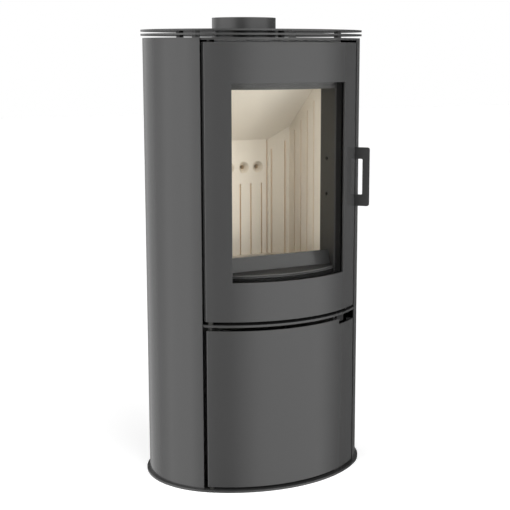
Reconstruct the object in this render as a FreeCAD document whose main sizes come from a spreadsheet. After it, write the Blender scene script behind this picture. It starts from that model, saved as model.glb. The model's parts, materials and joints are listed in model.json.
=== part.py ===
"""Free-standing oval wood stove: casing, firebox, two curved doors, latch, air lever and ash pan.

Millimetres. The origin is on the floor under the middle of the oval, +Z is up and the doors face -Y.
"""

import FreeCAD, Part
import math
import os
import Sketcher
from types import SimpleNamespace

# Driving dimensions, by piece

SIZES = {
    # casing: a four-centre oval of two long arcs and two short ones
    "front_radius": 313,
    "casing_half_depth": 208.5,
    "side_radius_step": 28.5,
    "casing_top_rise": 98.3,
    "sheet_thickness": 3,
    "plate_thickness": 5,
    "side_panel_back_reach": 194.5,
    "back_panel_reach": 192,
    "base_overhang": 6.8,
    "ledge_level": 390.5,
    "ledge_lip_margin": 3.7,
    "lip_clearance": 1,
    # vents
    "vent_width": 10,
    "vent_height": 90,
    "vent_pitch": 33,
    "vent_level": 120,
    "top_slot_width": 12,
    "top_slot_setback": 26,
    "top_slot_reach": 96,
    # top plates, their spacers and the flue collar
    "top_plate_thickness": 4,
    "top_plate_overhang": 4,
    "spacer_height": 5.2,
    "spacer_radius": 9.5,
    "spacer_end_inset": 26.5,
    "spacer_side_reach": 184,
    "spacer_side_setback": 77,
    "spacer_rear_reach": 137,
    "spacer_rear_offset": 106,
    "flue_radius": 75,
    "flue_wall": 3,
    "flue_back_space": 79,
    "flue_height": 47.5,
    "flue_clearance": 1.5,
    # doors
    "door_stile": 50.1,
    "door_side_gap": 6.6,
    "door_sheet": 4,
    "door_flange_depth": 16,
    "door_flange_thickness": 3,
    "door_return_depth": 14,
    "door_fold_radius": 2.5,
    "firebox_door_bottom_gap": 7.5,
    "firebox_door_top_gap": 5,
    "lower_door_bottom_gap": 6,
    "lower_door_top_gap": 8.5,
    "window_half_width": 146.2,
    "window_sill_rise": 96.5,
    "window_height": 438.7,
    "notch_reach": 131,
    "notch_depth": 13,
    # glass, its gasket, frame and rope
    "fit_clearance": 0.2,
    "running_clearance": 0.3,
    "gasket_thickness": 1.8,
    "glass_thickness": 4,
    "glass_margin": 11,
    "door_frame_rear_depth": 24.4,
    "door_frame_margin": 27,
    "door_frame_relief": 2,
    "rope_inset": 8,
    "rope_width": 9,
    # hinges
    "hinge_inset": 12,
    "hinge_depth": 8.5,
    "pin_radius": 3,
    "pin_clearance": 0.1,
    "pin_grip": 14,
    "bush_radius": 6,
    "hinge_block_length": 18,
    "hinge_block_depth": 11,
    "hinge_block_height": 20,
    # latch
    "latch_depth": 11,
    "latch_drop": 2,
    "latch_shaft_radius": 3,
    "latch_shaft_length": 182,
    "lug_height": 10,
    "lug_reach": 5.5,
    "lug_depth": 11,
    "flange_gap_height": 150,
    "handle_height": 138,
    "handle_reach": 34,
    "handle_bar_width": 16.5,
    "handle_arm_height": 27,
    "handle_thickness": 4,
    "handle_corner": 5,
    "handle_inner_corner": 2.5,
    "hook_thickness": 6,
    "hook_ring_radius": 6,
    "hook_half_width": 3.4,
    "hook_length": 44,
    "hook_finger_length": 8,
    "hook_finger_reach": 7.9,
    "keeper_plate": 4,
    "keeper_height": 110,
    "keeper_rear_clearance": 6.7,
    "keeper_tongue_height": 30,
    "keeper_tongue_clearance": 4,
    "keeper_side_clearance": 1.5,
    "keeper_screw_radius": 2.5,
    "keeper_screw_head_radius": 4,
    "keeper_screw_head": 2.5,
    "keeper_screw_spacing": 84,
    "keeper_screw_inset": 6.8,
    # firebox
    "firebox_side_step": 1.3,
    "firebox_back_space": 85.5,
    "corner_cut": 40,
    "lining_front_space": 144,
    "board_thickness": 25,
    "firebox_plate": 4,
    "firebox_top_drop": 39,
    "front_frame_depth": 32,
    "front_frame_reach": 163,
    "hearth_rise": 4.5,
    "sill_thickness": 6,
    "sill_overlap": 10,
    "lintel_drop": 14.7,
    "side_clearance": 0.3,
    "baffle_smoke_gap": 29.49,
    "baffle_rise_share": 0.836,
    "baffle_front_inset": 14.5,
    "groove_width": 4,
    "groove_depth": 5,
    "groove_pitch": 30,
    "seam_width": 3,
    "groove_back_drop": 41,
    "groove_top_drop": 30,
    "side_groove_start": 26,
    "corner_groove_offset": 15,
    "air_hole_drop": 67.3,
    "air_hole_pitch": 40,
    "air_hole_radius": 5.5,
    "air_hole_mouth_radius": 14.5,
    "air_hole_mouth_depth": 8,
    # grate, ash pan and log guard
    "grate_length": 216,
    "grate_front_margin": 25.5,
    "grate_back_margin": 12,
    "grate_thickness": 16,
    "grate_clearance": 1,
    "grate_slot_width": 8,
    "grate_slot_pitch": 18,
    "grate_border": 20,
    "grate_seat": 6,
    "pan_clearance": 3,
    "pan_wall": 2,
    "pan_height": 48,
    "runner_height": 8,
    "runner_width": 10,
    "ash_box_wall": 3,
    "guard_front_space": 95.5,
    "guard_height": 32,
    "guard_lean": 9.5,
    "guard_sheet": 3,
    "guard_foot": 20,
    "guard_end_clearance": 1,
    # lower compartment
    "carcass_half_width": 170,
    "carcass_back_space": 70.5,
    "carcass_front_space": 110.5,
    "magnet_left_reach": 128,
    "magnet_right_reach": 160,
    "magnet_depth": 14,
    "magnet_height": 30,
    "strike_thickness": 2,
    # air control
    "air_pivot_reach": 89,
    "air_pivot_front_space": 164.5,
    "air_disc_radius": 46,
    "air_port_width": 9,
    "air_port_length": 14,
    "air_port_circle": 36,
    "air_pivot_radius": 4,
    "air_pivot_head_radius": 7,
    "air_pivot_head": 3,
    "lever_sheet": 3,
    "lever_width": 14,
    "lever_gap": 0.5,
    "lever_tab_reach": 147,
    "lever_tab_width": 28,
    "lever_tab_drop": 18,
    "lever_tab_inset": 9,
    # cutting tools run past the faces that they cut
    "overrun": 20,
}

VENT_COUNT = 6
GRATE_SLOTS = 10
BACK_GROOVES = 7
SIDE_GROOVES = 4
AIR_HOLES = 5
HEXAGON_SIDES = 6
AIR_PORT_ANGLES = (148, 180, 212)


class Size:
    """A length that holds its number and the sheet expression that it is worked out by."""

    def __init__(self, number, text):
        self.number = float(number)
        self.text = text

    def __float__(self):
        return self.number

    def __add__(self, other):
        other = as_size(other)
        return Size(self.number + other.number, f"({self.text} + {other.text})")

    def __sub__(self, other):
        other = as_size(other)
        return Size(self.number - other.number, f"({self.text} - {other.text})")

    def __mul__(self, other):
        other = as_size(other)
        return Size(self.number * other.number, f"({self.text} * {other.text})")

    def __truediv__(self, other):
        other = as_size(other)
        return Size(self.number / other.number, f"({self.text} / {other.text})")

    def __neg__(self):
        return Size(-self.number, f"(0 - {self.text})")

    __radd__ = __add__
    __rmul__ = __mul__


def as_size(value):
    return value if isinstance(value, Size) else Size(value, repr(value))


def root(square):
    return Size(math.sqrt(square.number), f"sqrt({square.text})")


doc = FreeCAD.newDocument("oval_stove")
sheet = doc.addObject("Spreadsheet::Sheet", "Sizes")
for row, (name, value) in enumerate(SIZES.items(), start=1):
    sheet.set(f"A{row}", name)
    sheet.set(f"B{row}", str(value))
    sheet.setAlias(f"B{row}", name)
doc.recompute()
d = SimpleNamespace(**{name: Size(sheet.get(name), f"Sizes.{name}") for name in SIZES})
ZERO = as_size(0)
MITRE_SHARE = root(as_size(2)) - 1

# Places worked out from the driving dimensions

front_centre = d.front_radius - d.casing_half_depth
side_radius = d.casing_half_depth - d.side_radius_step
side_centre = root((d.front_radius - side_radius) * (d.front_radius - side_radius)
                   - front_centre * front_centre)
door_half_width = d.window_half_width + d.door_stile
side_panel_front_reach = door_half_width + d.door_side_gap
ledge_lip_reach = door_half_width + d.ledge_lip_margin
hinge_reach = door_half_width - d.hinge_inset
firebox_half_width = d.window_half_width + d.firebox_side_step
ledge_bottom = d.ledge_level - d.plate_thickness
window_sill_level = d.ledge_level + d.window_sill_rise
window_top = window_sill_level + d.window_height
casing_height = window_top + d.casing_top_rise
casing_top_bottom = casing_height - d.plate_thickness
lower_plate_bottom = casing_height + d.spacer_height
upper_plate_bottom = lower_plate_bottom + d.top_plate_thickness + d.spacer_height
flue_top = casing_height + d.flue_height
firebox_door_bottom = d.ledge_level + d.firebox_door_bottom_gap
firebox_door_top = casing_top_bottom - d.firebox_door_top_gap
lower_door_bottom = d.plate_thickness + d.lower_door_bottom_gap
lower_door_top = ledge_bottom - d.lower_door_top_gap
latch_level = (firebox_door_bottom + firebox_door_top) / 2 - d.latch_drop
firebox_back = d.casing_half_depth - d.firebox_back_space
lining_front = d.casing_half_depth - d.lining_front_space
flue_setback = firebox_back - d.flue_back_space
front_frame_rear = d.front_frame_depth + d.firebox_plate
sill_level = window_sill_level + d.hearth_rise
sill_top = sill_level + d.sill_thickness
lintel_level = window_top - d.lintel_drop
lintel_top = lintel_level + d.sill_thickness
hearth_bottom = sill_level - d.board_thickness
floor_bottom = hearth_bottom - d.firebox_plate
firebox_top_level = casing_height - d.firebox_top_drop
baffle_front = lining_front - d.baffle_front_inset
baffle_upright = d.board_thickness * root(d.baffle_rise_share * d.baffle_rise_share + 1)
baffle_level = (firebox_top_level - d.baffle_smoke_gap - baffle_upright
                - (firebox_back + baffle_front) * d.baffle_rise_share)
air_hole_level = baffle_level - d.air_hole_drop
groove_back_top = air_hole_level - d.groove_back_drop
jamb_outer = firebox_half_width + d.sheet_thickness
grate_depth = firebox_back - d.grate_back_margin + lining_front - d.grate_front_margin
grate_offset = firebox_back - d.grate_back_margin - grate_depth / 2
grate_opening_length = d.grate_length + 2 * d.grate_clearance
grate_opening_depth = grate_depth + 2 * d.grate_clearance
floor_opening_length = d.grate_length - 2 * d.grate_seat
floor_opening_depth = grate_depth - 2 * d.grate_seat
guard_setback = d.casing_half_depth - d.guard_front_space
carcass_back = d.casing_half_depth - d.carcass_back_space
carcass_front = d.casing_half_depth - d.carcass_front_space
air_pivot_setback = d.casing_half_depth - d.air_pivot_front_space


def arc_y(radius, reach):
    """Y of the front arc of a given radius at a distance from the middle."""
    return front_centre - root(radius * radius - reach * reach)


def baffle_z(y):
    """Height of the baffle's underside, which climbs from the back to the front."""
    return baffle_level + (firebox_back - y) * d.baffle_rise_share


hinge_y = arc_y(d.front_radius - d.hinge_depth, hinge_reach)
door_return_rear = arc_y(d.front_radius, door_half_width) + d.door_return_depth
handle_gap_reach = (door_half_width + side_panel_front_reach) / 2
handle_gap_angle = -math.acos((handle_gap_reach.number - side_centre.number) / side_radius.number)


def gap_place(outward, across, height):
    """Placement in the gap beside the handle: X points out of the casing, Y across the gap."""
    out = FreeCAD.Vector(math.cos(handle_gap_angle), math.sin(handle_gap_angle), 0)
    along = FreeCAD.Vector(-out.y, out.x, 0)
    middle = FreeCAD.Vector(side_centre.number, 0, 0) + out * side_radius.number
    base = middle + out * float(outward) + along * float(across) + FreeCAD.Vector(0, 0, float(height))
    return FreeCAD.Placement(base, FreeCAD.Rotation(FreeCAD.Vector(0, 0, 1), math.degrees(handle_gap_angle)))


# Document helpers

nodes = []


def bind(thing, prop, size):
    thing.setExpression(prop, as_size(size).text)


def node(thing, label):
    """Mark an object as a finished sub-part."""
    thing.Label = label
    nodes.append(thing)
    return thing


def new_body(name):
    return doc.addObject("PartDesign::Body", name)


def sketch_on(body, role, offset=ZERO):
    """Sketch on one of the body's own origin planes, moved along the plane's normal."""
    plane = [item for item in body.Origin.OriginFeatures if item.Role == role][0]
    sketch = body.newObject("Sketcher::SketchObject", body.Name + "_sketch")
    sketch.AttachmentSupport = [(plane, "")]
    sketch.MapMode = "FlatFace"
    bind(sketch, "AttachmentOffset.Base.z", offset)
    return sketch


def dimension(sketch, constraint, size):
    index = sketch.addConstraint(constraint)
    bind(sketch, f"Constraints[{index}]", size)


def fix_distance(sketch, kind, geometry, position, size):
    """Hold a point at a signed distance from the sketch's origin."""
    if size.number > 0:
        dimension(sketch, Sketcher.Constraint(kind, -1, 1, geometry, position, size.number), size)
    else:
        dimension(sketch, Sketcher.Constraint(kind, geometry, position, -1, 1, -size.number), -size)


def fix_point(sketch, geometry, position, x, y):
    """Hold a point of the sketch at two named distances from its origin."""
    for kind, axis, size in (("DistanceX", -2, as_size(x)), ("DistanceY", -1, as_size(y))):
        if size.number == 0:
            sketch.addConstraint(Sketcher.Constraint("PointOnObject", geometry, position, axis))
        else:
            fix_distance(sketch, kind, geometry, position, size)


def point(x, y):
    return FreeCAD.Vector(float(x), float(y), 0)


def join(sketch, first, first_end, second, second_end):
    sketch.addConstraint(Sketcher.Constraint("Coincident", first, first_end, second, second_end))


def polygon(sketch, corners):
    start = sketch.GeometryCount
    count = len(corners)
    for i, corner in enumerate(corners):
        sketch.addGeometry(Part.LineSegment(point(*corner), point(*corners[(i + 1) % count])))
    for i, corner in enumerate(corners):
        join(sketch, start + i, 2, start + (i + 1) % count, 1)
        fix_point(sketch, start + i, 1, *corner)


def rectangle(sketch, left, bottom, right, top):
    polygon(sketch, [(left, bottom), (right, bottom), (right, top), (left, top)])


def circle(sketch, x, y, radius):
    index = sketch.addGeometry(Part.Circle(point(x, y), FreeCAD.Vector(0, 0, 1), float(radius)))
    fix_point(sketch, index, 3, x, y)
    dimension(sketch, Sketcher.Constraint("Radius", index, float(radius)), radius)


def arc(sketch, centre, radius, start_angle, end_angle):
    whole = Part.Circle(point(*centre), FreeCAD.Vector(0, 0, 1), float(radius))
    return sketch.addGeometry(Part.ArcOfCircle(whole, start_angle, end_angle))


def oval(sketch, grow):
    """Four tangent arcs, all moved outwards by one distance."""
    turn = math.atan2(float(front_centre), float(side_centre))
    long_radius = d.front_radius + grow
    short_radius = side_radius + grow
    front = arc(sketch, (ZERO, front_centre), long_radius, turn - math.pi, -turn)
    right = arc(sketch, (side_centre, ZERO), short_radius, -turn, turn)
    back = arc(sketch, (ZERO, -front_centre), long_radius, turn, math.pi - turn)
    left = arc(sketch, (-side_centre, ZERO), short_radius, math.pi - turn, math.pi + turn)
    ring = (front, right, back, left)
    for i, current in enumerate(ring):
        sketch.addConstraint(Sketcher.Constraint("Tangent", current, 2, ring[(i + 1) % len(ring)], 1))
    fix_point(sketch, front, 3, ZERO, front_centre)
    fix_point(sketch, back, 3, ZERO, -front_centre)
    dimension(sketch, Sketcher.Constraint("Radius", front, float(long_radius)), long_radius)
    dimension(sketch, Sketcher.Constraint("Radius", right, float(short_radius)), short_radius)
    sketch.addConstraint(Sketcher.Constraint("Equal", front, back))
    sketch.addConstraint(Sketcher.Constraint("Equal", right, left))


def ring_sector(sketch, centre, outer, inner, start, end):
    """Curved strip between two radii, cut off on radial lines through two points of its outer arc."""
    middle = point(*centre)
    angles = []
    for end_point in (start, end):
        offset = point(*end_point) - middle
        angles.append(math.atan2(offset.y, offset.x))
    if angles[1] < angles[0]:
        angles[1] += 2 * math.pi
    outer_arc = arc(sketch, centre, outer, *angles)
    inner_arc = arc(sketch, centre, inner, *angles)
    fix_point(sketch, outer_arc, 3, *centre)
    join(sketch, inner_arc, 3, outer_arc, 3)
    dimension(sketch, Sketcher.Constraint("Radius", outer_arc, float(outer)), outer)
    dimension(sketch, Sketcher.Constraint("Radius", inner_arc, float(inner)), inner)
    for position, end_point, angle in ((1, start, angles[0]), (2, end, angles[1])):
        ray = FreeCAD.Vector(math.cos(angle), math.sin(angle), 0)
        line = sketch.addGeometry(Part.LineSegment(middle + ray * float(outer), middle + ray * float(inner)))
        join(sketch, line, 1, outer_arc, position)
        join(sketch, line, 2, inner_arc, position)
        sketch.addConstraint(Sketcher.Constraint("PointOnObject", outer_arc, 3, line))
        fix_distance(sketch, "DistanceX", outer_arc, position, as_size(end_point[0]))


def front_sector(sketch, outer_depth, inner_depth, left, right):
    """Strip of the front arc, by its depths behind the casing and its reach at the casing's face."""
    outer = d.front_radius - outer_depth
    ends = []
    for reach in (left, right):
        scaled = as_size(reach) * outer / d.front_radius
        ends.append((scaled, arc_y(outer, scaled)))
    ring_sector(sketch, (ZERO, front_centre), outer, d.front_radius - inner_depth, *ends)


def front_plate_outline(sketch, half_width, depth, rear):
    """Flat plate with a front edge on the front arc and straight sides."""
    radius = d.front_radius - depth
    corner_y = arc_y(radius, half_width)
    angle = math.asin(float(half_width) / float(radius))
    edge = arc(sketch, (ZERO, front_centre), radius, -math.pi / 2 - angle, -math.pi / 2 + angle)
    corners = [(half_width, corner_y), (half_width, rear), (-half_width, rear), (-half_width, corner_y)]
    lines = []
    for first, second in zip(corners, corners[1:]):
        lines.append(sketch.addGeometry(Part.LineSegment(point(*first), point(*second))))
    fix_point(sketch, edge, 3, ZERO, front_centre)
    dimension(sketch, Sketcher.Constraint("Radius", edge, float(radius)), radius)
    join(sketch, edge, 2, lines[0], 1)
    join(sketch, lines[0], 2, lines[1], 1)
    join(sketch, lines[1], 2, lines[2], 1)
    join(sketch, lines[2], 2, edge, 1)
    fix_point(sketch, lines[0], 2, half_width, rear)
    fix_point(sketch, lines[1], 2, -half_width, rear)
    for line in (lines[0], lines[2]):
        sketch.addConstraint(Sketcher.Constraint("Vertical", line))


def pad(body, sketch, length, both_ways=False):
    feature = body.newObject("PartDesign::Pad", body.Name + "_pad")
    feature.Profile = sketch
    bind(feature, "Length", length)
    feature.Midplane = both_ways
    return feature


def pocket(body, sketch, length, upwards=False, both_ways=False):
    feature = body.newObject("PartDesign::Pocket", body.Name + "_pocket")
    feature.Profile = sketch
    bind(feature, "Length", length)
    feature.Reversed = upwards
    feature.Midplane = both_ways
    return feature


def flat_sketch(body, bottom):
    return sketch_on(body, "XY_Plane", bottom)


def box(name, x, y, z, length, width, height):
    thing = doc.addObject("Part::Box", name)
    for prop, size in (("Length", length), ("Width", width), ("Height", height)):
        bind(thing, prop, size)
    for axis, size in (("x", x), ("y", y), ("z", z)):
        bind(thing, f"Placement.Base.{axis}", size)
    return thing


def cylinder(name, x, y, z, radius, height):
    thing = doc.addObject("Part::Cylinder", name)
    bind(thing, "Radius", radius)
    bind(thing, "Height", height)
    for axis, size in (("x", x), ("y", y), ("z", z)):
        bind(thing, f"Placement.Base.{axis}", size)
    return thing


def hexagon(name, x, y, z, radius, height):
    """Upright six-sided post."""
    thing = doc.addObject("Part::Prism", name)
    thing.Polygon = HEXAGON_SIDES
    bind(thing, "Circumradius", radius)
    bind(thing, "Height", height)
    for axis, size in (("x", x), ("y", y), ("z", z)):
        bind(thing, f"Placement.Base.{axis}", size)
    return thing


def place_at(thing, base, rotation):
    """Turn a thing and put it at a point that isn't worked out in the sheet."""
    for axis in ("x", "y", "z"):
        thing.setExpression(f"Placement.Base.{axis}", None)
    thing.Placement = FreeCAD.Placement(base, rotation)
    return thing


def compound(name, things):
    group = doc.addObject("Part::Compound", name)
    group.Links = things
    return group


def cut(name, base, tool):
    result = doc.addObject("Part::Cut", name)
    result.Base = base
    result.Tool = tool
    return result


def fuse(name, things):
    result = doc.addObject("Part::MultiFuse", name)
    result.Shapes = things
    return result


def oval_plate(name, bottom, thickness, grow):
    body = new_body(name)
    sketch = flat_sketch(body, bottom)
    oval(sketch, grow)
    pad(body, sketch, thickness)
    return body


def cut_round(body, bottom, height, holes):
    """Round holes through a plate, given as (x, y, radius)."""
    sketch = flat_sketch(body, bottom)
    for hole in holes:
        circle(sketch, *hole)
    pocket(body, sketch, height, upwards=True)


# Casing

def lipped_plate(name, bottom):
    """Oval plate that fits inside the casing panels, with a lip out to the casing's face at the front."""
    body = oval_plate(name, bottom, d.plate_thickness, -(d.sheet_thickness + d.lip_clearance))
    sketch = flat_sketch(body, bottom)
    front_sector(sketch, ZERO, d.sheet_thickness + d.plate_thickness, -ledge_lip_reach, ledge_lip_reach)
    pad(body, sketch, d.plate_thickness)
    return body


def make_base_plate():
    body = oval_plate("base_plate_body", ZERO, d.plate_thickness, d.base_overhang)
    cut_round(body, ZERO, d.plate_thickness, [(-hinge_reach, hinge_y, d.pin_radius)])
    node(body, "base_plate")


def make_middle_ledge():
    body = lipped_plate("middle_ledge_body", ledge_bottom)
    holes = [(-hinge_reach, hinge_y, d.pin_radius),
             (d.air_pivot_reach, -air_pivot_setback, d.air_pivot_radius)]
    cut_round(body, ledge_bottom, d.plate_thickness, holes)
    ports = flat_sketch(body, ledge_bottom)
    for degrees in AIR_PORT_ANGLES:
        air_port(ports, d.air_pivot_reach, -air_pivot_setback, math.radians(degrees))
    pocket(body, ports, d.plate_thickness, upwards=True)
    node(body, "middle_ledge")


def make_casing_top():
    body = lipped_plate("casing_top_body", casing_top_bottom)
    holes = [(-hinge_reach, hinge_y, d.pin_radius),
             (ZERO, flue_setback, d.flue_radius + d.flue_clearance)]
    cut_round(body, casing_top_bottom, d.plate_thickness, holes)
    sketch = flat_sketch(body, casing_top_bottom)
    slot_inner = d.top_slot_setback + d.top_slot_width
    front_sector(sketch, d.top_slot_setback, slot_inner, -d.top_slot_reach, d.top_slot_reach)
    pocket(body, sketch, d.plate_thickness, upwards=True)
    node(body, "casing_top")


def make_side_panel(name, side):
    body = new_body(name + "_body")
    sketch = flat_sketch(body, d.plate_thickness)
    front_x = side_panel_front_reach
    back_x = d.side_panel_back_reach
    front_drop = root(side_radius * side_radius - (front_x - side_centre) * (front_x - side_centre))
    back_rise = root(side_radius * side_radius - (back_x - side_centre) * (back_x - side_centre))
    front_end = (front_x * side, -front_drop)
    back_end = (back_x * side, back_rise)
    ends = (front_end, back_end) if side > 0 else (back_end, front_end)
    ring_sector(sketch, (side_centre * side, ZERO), side_radius, side_radius - d.sheet_thickness, *ends)
    pad(body, sketch, casing_height - d.plate_thickness)
    node(body, name)


def make_back_panel():
    body = new_body("back_panel_body")
    sketch = flat_sketch(body, d.plate_thickness)
    reach = d.back_panel_reach
    end_y = -arc_y(d.front_radius, reach)
    inner = d.front_radius - d.sheet_thickness
    ring_sector(sketch, (ZERO, -front_centre), d.front_radius, inner, (reach, end_y), (-reach, end_y))
    pad(body, sketch, casing_height - d.plate_thickness)
    vents = sketch_on(body, "XZ_Plane")
    for i in range(VENT_COUNT):
        left = d.vent_pitch * (i - (VENT_COUNT - 1) / 2) - d.vent_width / 2
        rectangle(vents, left, d.vent_level, left + d.vent_width, d.vent_level + d.vent_height)
    pocket(body, vents, d.casing_half_depth + d.overrun)
    node(body, "back_panel")


def make_top_plate(name, bottom):
    body = oval_plate(name + "_body", bottom, d.top_plate_thickness, d.top_plate_overhang)
    cut_round(body, bottom, d.top_plate_thickness,
              [(ZERO, flue_setback, d.flue_radius + d.flue_clearance)])
    node(body, name)


def make_plate_spacers():
    end = d.casing_half_depth - d.spacer_end_inset
    places = [(ZERO, -end), (ZERO, end)]
    for side in (1, -1):
        places.append((d.spacer_side_reach * side, -d.spacer_side_setback))
        places.append((d.spacer_rear_reach * side, d.spacer_rear_offset))
    spacers = []
    for level in (casing_height, lower_plate_bottom + d.top_plate_thickness):
        for x, y in places:
            spacers.append(hexagon("spacer", x, y, level, d.spacer_radius, d.spacer_height))
    node(compound("spacer_group", spacers), "plate_spacers")


def make_flue_collar():
    bottom = firebox_top_level + d.firebox_plate
    body = new_body("flue_collar_body")
    sketch = flat_sketch(body, bottom)
    circle(sketch, ZERO, flue_setback, d.flue_radius)
    pad(body, sketch, flue_top - bottom)
    bore = flat_sketch(body, bottom)
    circle(bore, ZERO, flue_setback, d.flue_radius - d.flue_wall)
    pocket(body, bore, flue_top - bottom, upwards=True)
    node(body, "flue_collar")


# Firebox

def lining_corners(out):
    """Right-hand corners of the lining in plan, moved outwards by a distance: front, side and back."""
    return [(firebox_half_width + out, -lining_front),
            (firebox_half_width + out, firebox_back - d.corner_cut + out * MITRE_SHARE),
            (firebox_half_width - d.corner_cut + out * MITRE_SHARE, firebox_back + out)]


def mirrored(corners):
    return [(-x, y) for x, y in reversed(corners)]


def lining_outline(out):
    return lining_corners(out) + mirrored(lining_corners(out))


def trim_under_baffle(body):
    """Cut a board off along the sloped underside of the baffle."""
    sketch = sketch_on(body, "YZ_Plane")
    front = -lining_front - d.overrun
    back = firebox_back + d.board_thickness + d.overrun
    high = baffle_z(front) + d.overrun
    polygon(sketch, [(front, baffle_z(front)), (back, baffle_z(back)), (back, high), (front, high)])
    reach = 2 * (firebox_half_width + d.board_thickness + d.overrun)
    pocket(body, sketch, reach, both_ways=True)


def groove(x, y, top, degrees):
    """Upright groove in a board's face; its length runs along the face, turned by an angle."""
    tool = box("groove", x, y, sill_level, d.groove_width, 2 * d.groove_depth, top - sill_level)
    turn = FreeCAD.Rotation(FreeCAD.Vector(0, 0, 1), degrees)
    half = turn.multVec(FreeCAD.Vector(float(d.groove_width) / 2, float(d.groove_depth), 0))
    base = FreeCAD.Vector(float(x), float(y), float(sill_level)) - FreeCAD.Vector(half.x, half.y, 0)
    return place_at(tool, base, turn)


def board(name, corners):
    body = new_body(name + "_body")
    sketch = flat_sketch(body, sill_level)
    polygon(sketch, corners)
    pad(body, sketch, baffle_z(-lining_front) - sill_level)
    trim_under_baffle(body)
    return body


def make_back_board():
    inner = lining_corners(ZERO)[2]
    outer = lining_corners(d.board_thickness)[2]
    body = board("back_board", [inner, outer] + mirrored([inner, outer]))
    tools = []
    for i in range(BACK_GROOVES):
        x = d.groove_pitch * (i - (BACK_GROOVES - 1) / 2)
        tools.append(groove(x, firebox_back, groove_back_top, 0))
    for side in (1, -1):
        x = (firebox_half_width - d.corner_cut - d.seam_width / 2) * side
        tools.append(box("seam", x - d.seam_width / 2, firebox_back - d.groove_depth, sill_level,
                         d.seam_width, 2 * d.groove_depth, baffle_level - sill_level + d.overrun))
    upright = FreeCAD.Rotation(FreeCAD.Vector(1, 0, 0), -90)
    for i in range(AIR_HOLES):
        x = d.air_hole_pitch * (i - (AIR_HOLES - 1) / 2)
        mouth = doc.addObject("Part::Cone", "air_mouth")
        bind(mouth, "Radius1", d.air_hole_mouth_radius)
        bind(mouth, "Radius2", d.air_hole_radius)
        bind(mouth, "Height", d.air_hole_mouth_depth)
        throat = doc.addObject("Part::Cylinder", "air_throat")
        bind(throat, "Radius", d.air_hole_radius)
        bind(throat, "Height", d.board_thickness)
        for tool in (mouth, throat):
            tool.Placement = FreeCAD.Placement(
                FreeCAD.Vector(float(x), float(firebox_back), float(air_hole_level)), upright)
            tools.append(tool)
    node(cut("back_board_cut", body, compound("back_board_tools", tools)), "back_board")


def make_corner_board(name, side):
    inner = lining_corners(ZERO)
    outer = lining_corners(d.board_thickness)
    corners = [inner[1], outer[1], outer[2], inner[2]]
    body = board(name, corners if side > 0 else mirrored(corners))
    tools = []
    for shift in (-1, 1):
        along = d.corner_cut / 2 + d.corner_groove_offset * shift * MITRE_SHARE * 2
        x = firebox_half_width - d.corner_cut + along
        y = firebox_back - along
        tools.append(groove(x * side, y, baffle_z(y) - d.groove_top_drop, -45 * side))
    node(cut(name + "_cut", body, compound(name + "_tools", tools)), name)


def make_side_board(name, side):
    inner = lining_corners(ZERO)
    outer = lining_corners(d.board_thickness)
    corners = [inner[0], outer[0], outer[1], inner[1]]
    body = board(name, corners if side > 0 else mirrored(corners))
    tools = []
    for i in range(SIDE_GROOVES):
        y = firebox_back - d.corner_cut - d.side_groove_start - d.groove_pitch * i
        tools.append(groove(firebox_half_width * side, y, baffle_z(y) - d.groove_top_drop, 90))
    node(cut(name + "_cut", body, compound(name + "_tools", tools)), name)


def make_baffle_board():
    body = new_body("baffle_board_body")
    sketch = sketch_on(body, "YZ_Plane")
    back = firebox_back + d.board_thickness
    front = -baffle_front
    polygon(sketch, [(back, baffle_z(back)), (back, baffle_z(back) + baffle_upright),
                     (front, baffle_z(front) + baffle_upright), (front, baffle_z(front))])
    pad(body, sketch, 2 * (firebox_half_width + d.board_thickness), both_ways=True)
    corners = sketch_on(body, "XY_Plane", baffle_z(back) - d.overrun)
    outer = lining_corners(d.board_thickness)
    far_corner = (outer[1][0] + d.overrun, outer[2][1] + d.overrun)
    clipped = [outer[1], (far_corner[0], outer[1][1]), far_corner, (outer[2][0], far_corner[1]), outer[2]]
    polygon(corners, clipped)
    polygon(corners, mirrored(clipped))
    pocket(body, corners, baffle_z(front) - baffle_z(back) + 2 * d.overrun, upwards=True)
    node(body, "baffle_board")


def make_hearth_board():
    body = new_body("hearth_board_body")
    sketch = flat_sketch(body, hearth_bottom)
    polygon(sketch, lining_outline(d.board_thickness))
    pad(body, sketch, d.board_thickness)
    hole = flat_sketch(body, hearth_bottom)
    rectangle(hole, -grate_opening_length / 2, grate_offset - grate_opening_depth / 2,
              grate_opening_length / 2, grate_offset + grate_opening_depth / 2)
    pocket(body, hole, d.board_thickness, upwards=True)
    node(body, "hearth_board")


def make_firebox_wall():
    body = new_body("firebox_wall_body")
    sketch = flat_sketch(body, hearth_bottom)
    inside = lining_outline(d.board_thickness)
    outside = lining_outline(d.board_thickness + d.sheet_thickness)
    polygon(sketch, outside + list(reversed(inside)))
    pad(body, sketch, firebox_top_level - hearth_bottom)
    node(body, "firebox_wall")


def firebox_plate(name, bottom):
    """Flat plate over the firebox's outline, running forward to the front frame."""
    body = new_body(name + "_body")
    sketch = flat_sketch(body, bottom)
    polygon(sketch, lining_outline(d.board_thickness + d.sheet_thickness))
    pad(body, sketch, d.firebox_plate)
    tongue = flat_sketch(body, bottom)
    depth = front_frame_rear + d.side_clearance
    front_plate_outline(tongue, jamb_outer, depth, -lining_front + d.sheet_thickness)
    pad(body, tongue, d.firebox_plate)
    return body


def make_firebox_floor():
    body = firebox_plate("firebox_floor", floor_bottom)
    hole = flat_sketch(body, floor_bottom)
    rectangle(hole, -floor_opening_length / 2, grate_offset - floor_opening_depth / 2,
              floor_opening_length / 2, grate_offset + floor_opening_depth / 2)
    pocket(body, hole, d.firebox_plate, upwards=True)
    node(body, "firebox_floor")


def make_firebox_top():
    body = firebox_plate("firebox_top", firebox_top_level)
    flue_hole = (ZERO, flue_setback, d.flue_radius - d.flue_wall)
    cut_round(body, firebox_top_level, d.firebox_plate, [flue_hole])
    node(body, "firebox_top")


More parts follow.
